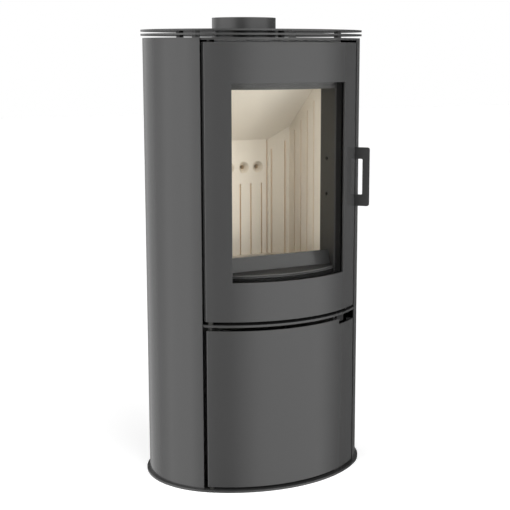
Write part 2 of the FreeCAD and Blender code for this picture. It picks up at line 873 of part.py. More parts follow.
def make_front_frame():
    body = new_body("front_frame_body")
    sketch = flat_sketch(body, d.ledge_level)
    outer = d.front_radius - d.front_frame_depth
    reach = d.front_frame_reach * d.front_radius / outer
    front_sector(sketch, d.front_frame_depth, front_frame_rear, -reach, reach)
    pad(body, sketch, casing_top_bottom - d.ledge_level)
    opening = sketch_on(body, "XZ_Plane")
    rectangle(opening, -firebox_half_width, sill_level, firebox_half_width, lintel_top)
    pocket(body, opening, d.casing_half_depth, upwards=True)
    node(body, "front_frame")


def make_front_shelf(name, bottom, rear):
    body = new_body(name + "_body")
    sketch = flat_sketch(body, bottom)
    front_plate_outline(sketch, firebox_half_width - d.side_clearance, d.front_frame_depth, rear)
    pad(body, sketch, d.sill_thickness)
    node(body, name)


def make_jamb(name, side):
    """Upright post beside the opening, with a return that holds the side board's front edge."""
    body = new_body(name + "_body")
    sketch = flat_sketch(body, hearth_bottom)
    front = arc_y(d.front_radius - front_frame_rear - d.side_clearance, jamb_outer)
    rear = -lining_front
    wall = firebox_half_width + d.board_thickness + d.sheet_thickness
    corners = [(firebox_half_width, front), (jamb_outer, front), (jamb_outer, rear - d.sheet_thickness),
               (wall, rear - d.sheet_thickness), (wall, rear), (firebox_half_width, rear)]
    polygon(sketch, corners if side > 0 else mirrored(corners))
    pad(body, sketch, firebox_top_level - hearth_bottom)
    if side > 0:
        holes = sketch_on(body, "YZ_Plane", ZERO)
        for level in keeper_screw_levels():
            circle(holes, keeper_screw_y(), level, d.keeper_screw_radius)
        pocket(body, holes, jamb_outer + d.overrun, upwards=True)
    node(body, name)


def make_grate():
    body = new_body("grate_body")
    sketch = flat_sketch(body, hearth_bottom)
    rectangle(sketch, -d.grate_length / 2, grate_offset - grate_depth / 2,
              d.grate_length / 2, grate_offset + grate_depth / 2)
    pad(body, sketch, d.grate_thickness)
    slots = flat_sketch(body, hearth_bottom)
    for i in range(GRATE_SLOTS):
        left = d.grate_slot_pitch * (i - (GRATE_SLOTS - 1) / 2) - d.grate_slot_width / 2
        rectangle(slots, left, grate_offset - grate_depth / 2 + d.grate_border,
                  left + d.grate_slot_width, grate_offset + grate_depth / 2 - d.grate_border)
    pocket(body, slots, d.grate_thickness, upwards=True)
    node(body, "grate")


def make_ash_parts():
    box_half_length = floor_opening_length / 2
    box_half_depth = floor_opening_depth / 2
    middle = grate_offset
    wall = d.ash_box_wall
    height = floor_bottom - d.ledge_level
    shell = box("ash_box_shell", -box_half_length - wall, middle - box_half_depth - wall, d.ledge_level,
                2 * (box_half_length + wall), 2 * (box_half_depth + wall), height)
    inside = box("ash_box_inside", -box_half_length, middle - box_half_depth, d.ledge_level,
                 2 * box_half_length, 2 * box_half_depth, height)
    node(cut("ash_box_cut", shell, inside), "ash_box")
    pan_half_length = box_half_length - d.pan_clearance
    pan_half_depth = box_half_depth - d.pan_clearance
    pan_bottom = d.ledge_level + d.runner_height
    pan = box("ash_pan_block", -pan_half_length, middle - pan_half_depth, pan_bottom,
              2 * pan_half_length, 2 * pan_half_depth, d.pan_height)
    hollow = box("ash_pan_hollow", -pan_half_length + d.pan_wall, middle - pan_half_depth + d.pan_wall,
                 pan_bottom + d.pan_wall, 2 * (pan_half_length - d.pan_wall),
                 2 * (pan_half_depth - d.pan_wall), d.pan_height)
    node(cut("ash_pan_cut", pan, hollow), "ash_pan")
    runners = []
    for side in (1, -1):
        x = (pan_half_length - d.runner_width) * side - d.runner_width / 2
        runners.append(box("runner", x, middle - pan_half_depth, d.ledge_level,
                           d.runner_width, 2 * pan_half_depth, d.runner_height))
    node(compound("runner_group", runners), "ash_pan_runners")


def make_log_guard():
    """Bent sheet across the opening: a foot on the sill and an upright that leans back."""
    body = new_body("log_guard_body")
    sketch = sketch_on(body, "YZ_Plane")
    front = -guard_setback
    top = sill_top + d.guard_height
    polygon(sketch, [(front, sill_top), (front + d.guard_foot, sill_top),
                     (front + d.guard_foot, sill_top + d.guard_sheet),
                     (front + d.guard_sheet + d.guard_sheet, sill_top + d.guard_sheet),
                     (front + d.guard_lean + d.guard_sheet, top), (front + d.guard_lean, top)])
    pad(body, sketch, 2 * (firebox_half_width - d.guard_end_clearance), both_ways=True)
    node(body, "log_guard")


# Lower compartment

def make_lower_carcass():
    body = new_body("lower_carcass_body")
    sketch = flat_sketch(body, d.plate_thickness)
    outer = d.carcass_half_width
    inner = outer - d.sheet_thickness
    back = carcass_back
    front = -carcass_front
    polygon(sketch, [(outer, front), (outer, back), (-outer, back), (-outer, front), (-inner, front),
                     (-inner, back - d.sheet_thickness), (inner, back - d.sheet_thickness), (inner, front)])
    pad(body, sketch, ledge_bottom - d.plate_thickness)
    node(body, "lower_carcass")


def make_lower_door_catch():
    left = d.magnet_left_reach
    right = d.magnet_right_reach
    strike_front = d.door_sheet + d.fit_clearance
    strike_rear = strike_front + d.strike_thickness
    strike = new_body("strike_plate_body")
    sketch = flat_sketch(strike, lower_door_bottom)
    front_sector(sketch, strike_front, strike_rear, left, right)
    pad(strike, sketch, d.magnet_height)
    node(strike, "strike_plate")
    magnet = new_body("magnet_catch_body")
    sketch = flat_sketch(magnet, d.plate_thickness)
    magnet_front = strike_rear + d.running_clearance
    front_sector(sketch, magnet_front, magnet_front + d.magnet_depth, left, right)
    pad(magnet, sketch, d.magnet_height)
    node(magnet, "magnet_catch")


# Doors

def fold_edges(block):
    """The two upright edges at the front of a door."""
    found = []
    for i, edge in enumerate(block.Shape.Edges, start=1):
        span = edge.BoundBox
        at_side = abs(abs(span.Center.x) - float(door_half_width)) < float(d.fit_clearance)
        at_front = span.Center.y < float(door_return_rear) - float(d.door_sheet)
        if at_side and at_front and span.ZLength > float(d.door_flange_depth):
            found.append(f"Edge{i}")
    return found


def firebox_door_outline(sketch, depth, reach, rear_overrun):
    """Front arc with the left edge folded straight back and the right edge folded towards its centre."""
    radius = d.front_radius - depth
    inner = d.front_radius - d.door_flange_depth - rear_overrun
    inner_reach = reach * inner / d.front_radius
    right_rear = (inner_reach, arc_y(inner, inner_reach))
    left_rear = (-reach, door_return_rear + rear_overrun)
    left_angle = math.asin(float(reach) / float(radius))
    right_angle = math.asin(float(reach) / float(d.front_radius))
    front = arc(sketch, (ZERO, front_centre), radius, -math.pi / 2 - left_angle, -math.pi / 2 + right_angle)
    curve = sketch.Geometry[front]
    right_edge = sketch.addGeometry(Part.LineSegment(curve.EndPoint, point(*right_rear)))
    rear_edge = sketch.addGeometry(Part.LineSegment(point(*right_rear), point(*left_rear)))
    left_edge = sketch.addGeometry(Part.LineSegment(point(*left_rear), curve.StartPoint))
    fix_point(sketch, front, 3, ZERO, front_centre)
    dimension(sketch, Sketcher.Constraint("Radius", front, float(radius)), radius)
    join(sketch, front, 2, right_edge, 1)
    join(sketch, right_edge, 2, rear_edge, 1)
    join(sketch, rear_edge, 2, left_edge, 1)
    join(sketch, left_edge, 2, front, 1)
    fix_point(sketch, right_edge, 2, *right_rear)
    fix_point(sketch, rear_edge, 2, *left_rear)
    sketch.addConstraint(Sketcher.Constraint("PointOnObject", front, 3, right_edge))
    sketch.addConstraint(Sketcher.Constraint("Vertical", left_edge))


def lower_door_outline(sketch, depth, reach, rear_overrun):
    """Front arc with both edges folded towards its centre."""
    front_sector(sketch, depth, d.door_flange_depth + rear_overrun, -reach, reach)


def door_panel(name, bottom, height, outline):
    """Curved sheet with both upright edges folded inwards."""
    body = new_body(name + "_body")
    sketch = flat_sketch(body, bottom)
    outline(sketch, ZERO, door_half_width, ZERO)
    block = pad(body, sketch, height)
    doc.recompute()
    folds = body.newObject("PartDesign::Fillet", name + "_folds")
    folds.Base = (block, fold_edges(block))
    bind(folds, "Radius", d.door_fold_radius)
    inside = flat_sketch(body, bottom)
    outline(inside, d.door_sheet, door_half_width - d.door_flange_thickness, d.overrun)
    pocket(body, inside, height, upwards=True)
    return body


def window_cut(body, outer_depth, inner_depth, margin):
    """Opening with radial sides, larger than the window by a margin."""
    sketch = flat_sketch(body, window_sill_level - margin)
    reach = d.window_half_width + margin
    front_sector(sketch, outer_depth, inner_depth, -reach, reach)
    pocket(body, sketch, d.window_height + 2 * margin, upwards=True)


def window_strip(name, outer_depth, inner_depth, margin):
    """Curved plate that covers the window with a margin all round."""
    body = new_body(name + "_body")
    sketch = flat_sketch(body, window_sill_level - margin)
    reach = d.window_half_width + margin
    front_sector(sketch, outer_depth, inner_depth, -reach, reach)
    pad(body, sketch, d.window_height + 2 * margin)
    return body


def make_firebox_door():
    height = firebox_door_top - firebox_door_bottom
    panel = door_panel("firebox_door_panel", firebox_door_bottom, height, firebox_door_outline)
    window_cut(panel, -d.overrun, d.door_sheet + d.overrun, ZERO)
    gap = flat_sketch(panel, latch_level - d.flange_gap_height / 2)
    front_sector(gap, d.door_sheet, d.door_flange_depth + d.overrun, ZERO, door_half_width + d.overrun)
    pocket(panel, gap, d.flange_gap_height, upwards=True)
    node(panel, "firebox_door_panel")

    gasket_front = d.door_sheet + d.fit_clearance
    gasket_rear = gasket_front + d.gasket_thickness
    gasket = window_strip("glass_gasket", gasket_front, gasket_rear, d.glass_margin)
    window_cut(gasket, gasket_front - d.overrun, gasket_rear + d.overrun, d.door_frame_relief)
    node(gasket, "glass_gasket")

    glass_front = gasket_rear + d.fit_clearance
    glass_rear = glass_front + d.glass_thickness
    node(window_strip("door_glass", glass_front, glass_rear, d.glass_margin), "door_glass")

    frame = window_strip("door_frame", gasket_front, d.door_frame_rear_depth, d.door_frame_margin)
    window_cut(frame, gasket_front - d.overrun, d.door_frame_rear_depth + d.overrun, d.door_frame_relief)
    rebate_rear = glass_rear + d.fit_clearance
    window_cut(frame, gasket_front - d.overrun, rebate_rear, d.glass_margin + d.fit_clearance)
    node(frame, "door_frame")

    rope_front = d.door_frame_rear_depth + d.fit_clearance
    rope_rear = d.front_frame_depth - d.running_clearance
    rope = window_strip("door_rope_seal", rope_front, rope_rear, d.rope_inset + d.rope_width)
    window_cut(rope, rope_front - d.overrun, rope_rear + d.overrun, d.rope_inset)
    node(rope, "door_rope_seal")


def make_lower_door():
    height = lower_door_top - lower_door_bottom
    panel = door_panel("lower_door_panel", lower_door_bottom, height, lower_door_outline)
    notch = flat_sketch(panel, lower_door_top - d.notch_depth)
    notch_rear = d.door_flange_depth + d.overrun
    front_sector(notch, -d.overrun, notch_rear, d.notch_reach, door_half_width + d.overrun)
    pocket(panel, notch, d.notch_depth, upwards=True)
    node(panel, "lower_door_panel")


# Hinges

def make_hinges():
    x = -hinge_reach
    pins = (("bottom_hinge_pin", ZERO, lower_door_bottom + d.pin_grip),
            ("middle_hinge_pin", lower_door_top - d.pin_grip, firebox_door_bottom + d.pin_grip),
            ("top_hinge_pin", firebox_door_top - d.pin_grip, casing_height))
    for name, low, high in pins:
        node(cylinder(name + "_rod", x, hinge_y, low, d.pin_radius, high - low), name)
    bushes = []
    for low, high in ((d.plate_thickness, lower_door_bottom), (d.ledge_level, firebox_door_bottom)):
        ring = cylinder("bush_ring", x, hinge_y, low, d.bush_radius, high - low - d.running_clearance)
        bore = cylinder("bush_bore", x, hinge_y, low, d.pin_radius, high - low)
        bushes.append(cut("bush", ring, bore))
    node(compound("bush_group", bushes), "hinge_bushes")
    doors = (("firebox_door_hinge_blocks", firebox_door_bottom, firebox_door_top),
             ("lower_door_hinge_blocks", lower_door_bottom, lower_door_top))
    for name, low, high in doors:
        blocks = []
        for bottom in (low, high - d.hinge_block_height):
            blocks.append(hinge_block(bottom))
        node(compound(name + "_group", blocks), name)


def hinge_block(bottom):
    """Block behind the door's sheet, bored for the hinge pin."""
    body = new_body("hinge_block_body")
    sketch = flat_sketch(body, bottom)
    front = d.door_sheet + d.fit_clearance
    left = -(door_half_width - d.door_flange_thickness - d.fit_clearance)
    front_sector(sketch, front, front + d.hinge_block_depth, left, left + d.hinge_block_length)
    pad(body, sketch, d.hinge_block_height)
    cut_round(body, bottom, d.hinge_block_height, [(-hinge_reach, hinge_y, d.pin_radius + d.pin_clearance)])
    return body


# Latch

def shaft_place():
    return gap_place(-d.latch_depth, ZERO, ZERO).Base


def keeper_screw_levels():
    return [latch_level + d.keeper_screw_spacing / 2, latch_level - d.keeper_screw_spacing / 2]


def keeper_front_y():
    """The keeper's tongue lies this far in front of the hook's finger."""
    finger_front = as_size(shaft_place().y) + d.hook_length - d.hook_finger_length
    return finger_front - d.keeper_tongue_clearance - d.keeper_plate


def keeper_screw_y():
    return keeper_front_y() + d.keeper_screw_inset


def make_door_handle():
    body = new_body("door_handle_body")
    sketch = sketch_on(body, "XZ_Plane")
    low = -d.handle_height / 2
    high = d.handle_height / 2
    arm = d.handle_arm_height
    shaft = -d.latch_depth
    bar = d.handle_reach - d.handle_bar_width
    polygon(sketch, [(shaft, low), (d.handle_reach, low), (d.handle_reach, high), (shaft, high),
                     (shaft, high - arm), (bar, high - arm), (bar, low + arm), (shaft, low + arm)])
    plate = pad(body, sketch, d.handle_thickness, both_ways=True)
    doc.recompute()
    rounding = body.newObject("PartDesign::Fillet", "handle_outer_rounding")
    rounding.Base = (plate, corner_edges(plate, d.handle_reach))
    bind(rounding, "Radius", d.handle_corner)
    doc.recompute()
    second = body.newObject("PartDesign::Fillet", "handle_inner_rounding")
    second.Base = (rounding, corner_edges(rounding, d.handle_reach - d.handle_bar_width))
    bind(second, "Radius", d.handle_inner_corner)
    saddle = sketch_on(body, "XY_Plane", low - d.overrun)
    circle(saddle, -d.latch_depth, ZERO, d.latch_shaft_radius)
    pocket(body, saddle, d.handle_height + 2 * d.overrun, upwards=True)
    body.Placement = gap_place(ZERO, ZERO, latch_level)
    node(body, "door_handle")


def corner_edges(feature, reach):
    """Short edges across the handle's plate at one distance from the casing."""
    found = []
    for i, edge in enumerate(feature.Shape.Edges, start=1):
        box_of_edge = edge.BoundBox
        flat = box_of_edge.XLength + box_of_edge.ZLength
        if flat < 1e-6 and abs(box_of_edge.XMin - float(reach)) < 1e-6:
            found.append(f"Edge{i}")
    return found


def make_latch_parts():
    place = shaft_place()
    shaft = doc.addObject("Part::Cylinder", "latch_shaft_rod")
    bind(shaft, "Radius", d.latch_shaft_radius)
    bind(shaft, "Height", d.latch_shaft_length)
    low = latch_level - d.latch_shaft_length / 2
    shaft.Placement = FreeCAD.Placement(place + FreeCAD.Vector(0, 0, float(low)), FreeCAD.Rotation())
    node(shaft, "latch_shaft")

    hook = new_body("latch_hook_body")
    outline = flat_sketch(hook, -d.hook_thickness / 2)
    half = d.hook_half_width
    finger = d.hook_length - d.hook_finger_length
    polygon(outline, [(half, ZERO), (half, d.hook_length), (-d.hook_finger_reach, d.hook_length),
                      (-d.hook_finger_reach, finger), (-half, finger), (-half, ZERO)])
    pad(hook, outline, d.hook_thickness)
    ring = flat_sketch(hook, -d.hook_thickness / 2)
    circle(ring, ZERO, ZERO, d.hook_ring_radius)
    pad(hook, ring, d.hook_thickness)
    bore = flat_sketch(hook, -d.hook_thickness / 2)
    circle(bore, ZERO, ZERO, d.latch_shaft_radius)
    pocket(hook, bore, d.hook_thickness, upwards=True)
    hook.Placement = FreeCAD.Placement(place + FreeCAD.Vector(0, 0, float(latch_level)), FreeCAD.Rotation())
    node(hook, "latch_hook")

    lugs = []
    edge = side_panel_front_reach - door_half_width
    for shift in (1, -1):
        level = (d.latch_shaft_length / 2 - d.lug_height / 2) * shift - d.lug_height / 2
        lug = new_body("latch_lug_body")
        outline = flat_sketch(lug, level)
        near = -(edge / 2 + 2 * d.fit_clearance)
        rear = -d.latch_depth - d.lug_depth / 2
        rectangle(outline, rear, near, rear + d.lug_depth, d.lug_reach)
        pad(lug, outline, d.lug_height)
        bore = flat_sketch(lug, level)
        circle(bore, -d.latch_depth, ZERO, d.latch_shaft_radius + d.pin_clearance)
        pocket(lug, bore, d.lug_height, upwards=True)
        lug.Placement = gap_place(ZERO, ZERO, latch_level)
        lugs.append(lug)
    node(compound("latch_lug_group", lugs), "latch_lugs")


def make_keeper():
    front = keeper_front_y()
    bottom = latch_level - d.keeper_height / 2
    rear = -lining_front - d.sheet_thickness - d.keeper_rear_clearance
    base = box("keeper_base", jamb_outer, front, bottom, d.keeper_plate, rear - front, d.keeper_height)
    finger_tip = as_size(shaft_place().x) - d.hook_finger_reach - d.keeper_side_clearance
    tongue = box("keeper_tongue", jamb_outer, front, latch_level - d.keeper_tongue_height / 2,
                 finger_tip - jamb_outer, d.keeper_plate, d.keeper_tongue_height)
    solid = fuse("keeper_fuse", [base, tongue])
    sideways = FreeCAD.Rotation(FreeCAD.Vector(0, 1, 0), 90)
    shank_length = d.sheet_thickness + d.keeper_plate
    holes = []
    screws = []
    for level in keeper_screw_levels():
        start = FreeCAD.Vector(float(firebox_half_width), float(keeper_screw_y()), float(level))
        rods = []
        for name in ("keeper_screw_hole", "keeper_screw_shank"):
            rod = cylinder(name, ZERO, ZERO, ZERO, d.keeper_screw_radius, shank_length)
            rods.append(place_at(rod, start, sideways))
        head = hexagon("keeper_screw_head", ZERO, ZERO, ZERO, d.keeper_screw_head_radius, d.keeper_screw_head)
        place_at(head, start - FreeCAD.Vector(float(d.keeper_screw_head), 0, 0), sideways)
        holes.append(rods[0])
        screws.append(fuse("keeper_screw", [head, rods[1]]))
    node(cut("keeper_cut", solid, compound("keeper_holes", holes)), "latch_keeper")
    node(compound("keeper_screw_group", screws), "keeper_screws")


# Air control

def air_port(sketch, x, y, turn):
    """Slot across a ray from the pivot, at an angle from the sketch's X."""
    outer = d.air_port_circle + d.air_port_length / 2
    inner = d.air_port_circle - d.air_port_length / 2
    half = float(d.air_port_width) / float(d.air_port_circle) / 2
    ends = []
    for angle in (turn - half, turn + half):
        ends.append((x + outer * math.cos(angle), y + outer * math.sin(angle)))
    ring_sector(sketch, (x, y), outer, inner, *ends)


def make_air_lever():
    """Disc under the ledge with ports, an arm to the notch and a tab bent down in it."""
    body = new_body("air_lever_body")
    bottom = ledge_bottom - d.lever_gap - d.lever_sheet
    tab_y = arc_y(d.front_radius, d.lever_tab_reach)
    run = root((d.lever_tab_reach - d.air_pivot_reach) * (d.lever_tab_reach - d.air_pivot_reach)
               + (tab_y + air_pivot_setback) * (tab_y + air_pivot_setback))
    tip = run - d.lever_tab_inset
    heading = math.atan2(float(tab_y + air_pivot_setback), float(d.lever_tab_reach - d.air_pivot_reach))
    disc = flat_sketch(body, bottom)
    circle(disc, ZERO, ZERO, d.air_disc_radius)
    pad(body, disc, d.lever_sheet)
    arm = flat_sketch(body, bottom)
    rectangle(arm, ZERO, -d.lever_width / 2, tip, d.lever_width / 2)
    pad(body, arm, d.lever_sheet)
    tab = flat_sketch(body, bottom - d.lever_tab_drop + d.lever_sheet)
    rectangle(tab, tip - d.lever_sheet, -d.lever_tab_width / 2, tip, d.lever_tab_width / 2)
    pad(body, tab, d.lever_tab_drop)
    holes = flat_sketch(body, bottom)
    circle(holes, ZERO, ZERO, d.air_pivot_radius + d.pin_clearance)
    for degrees in AIR_PORT_ANGLES:
        air_port(holes, ZERO, ZERO, math.radians(degrees) - heading)
    pocket(body, holes, d.lever_sheet, upwards=True)
    body.Placement = FreeCAD.Placement(point(d.air_pivot_reach, -air_pivot_setback),
                                       FreeCAD.Rotation(FreeCAD.Vector(0, 0, 1), math.degrees(heading)))
    node(body, "air_lever")


def make_air_pivot():
    lever_bottom = ledge_bottom - d.lever_gap - d.lever_sheet
    x = d.air_pivot_reach
    y = -air_pivot_setback
    head_bottom = lever_bottom - d.running_clearance - d.air_pivot_head
    head = hexagon("air_pivot_head", x, y, head_bottom, d.air_pivot_head_radius, d.air_pivot_head)
    shank = cylinder("air_pivot_shank", x, y, head_bottom, d.air_pivot_radius, d.ledge_level - head_bottom)
    node(fuse("air_pivot_fuse", [head, shank]), "air_pivot_bolt")


# Assembly

make_base_plate()
make_middle_ledge()
make_casing_top()
make_side_panel("left_side_panel", -1)
make_side_panel("right_side_panel", 1)
make_back_panel()
make_top_plate("lower_top_plate", lower_plate_bottom)
make_top_plate("upper_top_plate", upper_plate_bottom)
make_plate_spacers()
make_flue_collar()
make_firebox_wall()
make_firebox_floor()
make_firebox_top()
make_front_frame()
make_front_shelf("front_sill", sill_level, -lining_front + d.sill_overlap)
make_front_shelf("front_lintel", lintel_level, -lining_front - d.sheet_thickness)
make_jamb("left_jamb", -1)
make_jamb("right_jamb", 1)
make_back_board()
make_corner_board("left_corner_board", -1)
make_corner_board("right_corner_board", 1)
make_side_board("left_side_board", -1)
make_side_board("right_side_board", 1)
make_baffle_board()
make_hearth_board()
make_grate()
make_ash_parts()
make_log_guard()
make_lower_carcass()
make_lower_door_catch()
make_firebox_door()
make_lower_door()
make_hinges()
make_door_handle()
make_latch_parts()
make_keeper()
make_air_lever()
make_air_pivot()
doc.recompute()

# Checks, then one file for each sub-part

for thing in doc.Objects:
    faults = [state for state in thing.State if state in ("Invalid", "Error")]
    if faults:
        raise RuntimeError(f"{thing.Name} ({thing.Label}) failed: {faults}")
for thing in nodes:
    if thing.Shape.isNull() or not thing.Shape.isValid() or not thing.Shape.Solids:
        raise RuntimeError(f"{thing.Label} has no valid solid")

os.makedirs("parts", exist_ok=True)
for thing in nodes:
    thing.Shape.exportStep(f"parts/{thing.Label}.step")
    solids = thing.Shape.Solids
    print(f"{thing.Label}: {len(solids)} solid(s), {thing.Shape.Volume / 1000:.1f} cm3")
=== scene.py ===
"""Looks of the oval wood stove: materials, light, floor and camera.

The CAD nodes are shown as packed, each with a node material. The studio around them is a white
floor, four soft lamps, a world that is lighter and darker by azimuth, and the photograph's camera.
"""

import json
import math

import bpy
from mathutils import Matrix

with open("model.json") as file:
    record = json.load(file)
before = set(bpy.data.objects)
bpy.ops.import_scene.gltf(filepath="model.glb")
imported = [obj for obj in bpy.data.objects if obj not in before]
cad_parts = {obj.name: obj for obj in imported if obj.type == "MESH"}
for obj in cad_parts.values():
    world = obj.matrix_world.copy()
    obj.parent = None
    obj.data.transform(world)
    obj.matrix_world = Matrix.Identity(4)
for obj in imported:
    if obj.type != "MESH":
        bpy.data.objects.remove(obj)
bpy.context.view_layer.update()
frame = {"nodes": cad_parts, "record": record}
nodes = frame["nodes"]

WHITE = (1.0, 1.0, 1.0)


# Node helpers

def new_material(name):
    """A node material, its tree and its Principled shader."""
    material = bpy.data.materials.new(name)
    material.use_nodes = True
    tree = material.node_tree
    return material, tree, first_node(tree, "BSDF_PRINCIPLED")


def first_node(tree, kind):
    """The first node of one type in a tree."""
    return next(node for node in tree.nodes if node.type == kind)


def object_coordinates(tree, scale=(1, 1, 1)):
    """A point's place on its object, in metres, with each axis scaled."""
    coordinates = tree.nodes.new("ShaderNodeTexCoord")
    mapping = tree.nodes.new("ShaderNodeMapping")
    mapping.inputs["Scale"].default_value = scale
    tree.links.new(coordinates.outputs["Object"], mapping.inputs["Vector"])
    return mapping.outputs["Vector"]


def noise(tree, vector, scale, detail=3.0):
    """Cloudy noise, mostly between 0.3 and 0.7."""
    texture = tree.nodes.new("ShaderNodeTexNoise")
    texture.inputs["Scale"].default_value = scale
    texture.inputs["Detail"].default_value = detail
    tree.links.new(vector, texture.inputs["Vector"])
    return texture.outputs["Fac"]


def ramp(tree, factor, stops):
    """Colours spread over a factor, as (position, colour) stops."""
    node = tree.nodes.new("ShaderNodeValToRGB")
    elements = node.color_ramp.elements
    while len(elements) < len(stops):
        elements.new(0.5)
    for element, (position, colour) in zip(elements, stops):
        element.position = position
        element.color = (*colour, 1)
    tree.links.new(factor, node.inputs["Fac"])
    return node.outputs["Color"]


def spread(tree, factor, low, high):
    """A noise factor spread between a low and a high value."""
    node = tree.nodes.new("ShaderNodeMapRange")
    node.inputs["From Min"].default_value = 0.3
    node.inputs["From Max"].default_value = 0.7
    node.inputs["To Min"].default_value = low
    node.inputs["To Max"].default_value = high
    tree.links.new(factor, node.inputs["Value"])
    return node.outputs["Result"]


def multiply(tree, first, second):
    """The product of two colours."""
    node = tree.nodes.new("ShaderNodeMix")
    node.data_type = "RGBA"
    node.blend_type = "MULTIPLY"
    node.inputs["Factor"].default_value = 1.0
    tree.links.new(first, node.inputs["A"])
    tree.links.new(second, node.inputs["B"])
    return node.outputs["Result"]


def calculate(tree, operation, first, *numbers):
    """A Math node on one socket and plain numbers."""
    node = tree.nodes.new("ShaderNodeMath")
    node.operation = operation
    tree.links.new(first, node.inputs[0])
    for place, number in enumerate(numbers, start=1):
        node.inputs[place].default_value = number
    return node.outputs["Value"]


def bump(tree, shader, height, strength, distance, under=None):
    """Relief on a shader, on top of the normals under it."""
    node = tree.nodes.new("ShaderNodeBump")
    node.inputs["Strength"].default_value = strength
    node.inputs["Distance"].default_value = distance
    tree.links.new(height, node.inputs["Height"])
    if under is not None:
        tree.links.new(under, node.inputs["Normal"])
    tree.links.new(node.outputs["Normal"], shader.inputs["Normal"])


def rounded_edges(tree, radius):
    """Normals that turn softly over sharp edges, as a coat of paint does."""
    node = tree.nodes.new("ShaderNodeBevel")
    node.samples = 6
    node.inputs["Radius"].default_value = radius
    return node.outputs["Normal"]


def highlighted_edges(tree, colour, rounded, edge_highlight):
    """A colour made lighter along sharp edges by the given factor, as a painted highlight."""
    geometry = tree.nodes.new("ShaderNodeNewGeometry")
    flatness = tree.nodes.new("ShaderNodeVectorMath")
    flatness.operation = "DOT_PRODUCT"
    tree.links.new(geometry.outputs["Normal"], flatness.inputs[0])
    tree.links.new(rounded, flatness.inputs[1])
    light = ramp(tree, flatness.outputs["Value"], [(0.75, grey(edge_highlight)), (0.99, WHITE)])
    return multiply(tree, colour, light)


def grey(level):
    """A neutral colour."""
    return (level, level, level)


def shade(colour, factor):
    """A colour made lighter or darker."""
    return tuple(channel * factor for channel in colour)


# Materials

def paint(name, colour, roughness, grain=0.006, ior=1.5, shine=0.5, edge=0.001, edge_highlight=1.0):
    """Sprayed paint: an even colour with a faint grain, slightly uneven gloss, soft edges and a
    painted highlight along them.
    """
    material, tree, shader = new_material(name)
    shader.inputs["IOR"].default_value = ior
    shader.inputs["Specular IOR Level"].default_value = shine
    vector = object_coordinates(tree)
    cloud = noise(tree, vector, scale=4.0, detail=1.0)
    coat = ramp(tree, cloud, [(0.2, shade(colour, 0.98)), (0.8, shade(colour, 1.02))])
    rounded = rounded_edges(tree, edge)
    tree.links.new(highlighted_edges(tree, coat, rounded, edge_highlight), shader.inputs["Base Color"])
    gloss = spread(tree, cloud, roughness - 0.01, roughness + 0.01)
    tree.links.new(gloss, shader.inputs["Roughness"])
    pores = noise(tree, vector, scale=1500.0, detail=2.0)
    bump(tree, shader, pores, strength=grain, distance=0.0003, under=rounded)
    return material


def shaded_paint(name, stops):
    """Dull paint whose grey changes with the height above the floor, as (metres, grey) stops:
    painted shade and light.
    """
    material, tree, shader = new_material(name)
    shader.inputs["Specular IOR Level"].default_value = 0.15
    highest = stops[-1][0]
    split = tree.nodes.new("ShaderNodeSeparateXYZ")
    tree.links.new(object_coordinates(tree, (1, 1, 1 / highest)), split.inputs["Vector"])
    greys = [(height / highest, grey(level)) for height, level in stops]
    tree.links.new(ramp(tree, split.outputs["Z"], greys), shader.inputs["Base Color"])
    cloud = noise(tree, object_coordinates(tree), scale=4.0, detail=1.0)
    tree.links.new(spread(tree, cloud, 0.58, 0.62), shader.inputs["Roughness"])
    return material


def steel(name, colour, roughness):
    """Plain steel with fine lines from rolling."""
    material, tree, shader = new_material(name)
    shader.inputs["Metallic"].default_value = 1.0
    lines = noise(tree, object_coordinates(tree, (20, 20, 600)), scale=4.0)
    sheet = ramp(tree, lines, [(0.3, shade(colour, 0.85)), (0.7, shade(colour, 1.1))])
    tree.links.new(sheet, shader.inputs["Base Color"])
    gloss = spread(tree, lines, roughness - 0.06, roughness + 0.06)
    tree.links.new(gloss, shader.inputs["Roughness"])
    return material


# Colour of the lining by how open a place is, as painted light and shade: deep holes lighter,
# grooves and hollows darker, open faces unchanged
HOLLOW_SHADE = (0.74, 0.7, 0.64)
LINING_TINTS = [(0.2, (1.2, 1.1, 1.0)), (0.5, (1.0, 0.97, 0.93)), (0.75, HOLLOW_SHADE), (0.94, HOLLOW_SHADE),
                (0.99, WHITE)]


def lining_board(name, colour):
    """Pressed vermiculite: pale, matt and lightly speckled, with painted shade in its hollows."""
    material, tree, shader = new_material(name)
    flakes = noise(tree, object_coordinates(tree), scale=260.0, detail=6.0)
    board = ramp(tree, flakes, [(0.25, shade(colour, 0.95)), (0.5, colour),
                                (0.75, shade(colour, 1.03))])
    openness = tree.nodes.new("ShaderNodeAmbientOcclusion")
    openness.samples = 12
    openness.only_local = True
    openness.inputs["Distance"].default_value = 0.014
    # Painted shade in grooves, hollows and corners, painted light in the deepest holes
    tint = ramp(tree, openness.outputs["AO"], LINING_TINTS)
    tree.links.new(multiply(tree, board, tint), shader.inputs["Base Color"])
    tree.links.new(spread(tree, flakes, 0.85, 0.95), shader.inputs["Roughness"])
    bump(tree, shader, flakes, strength=0.08, distance=0.0006)
    return material


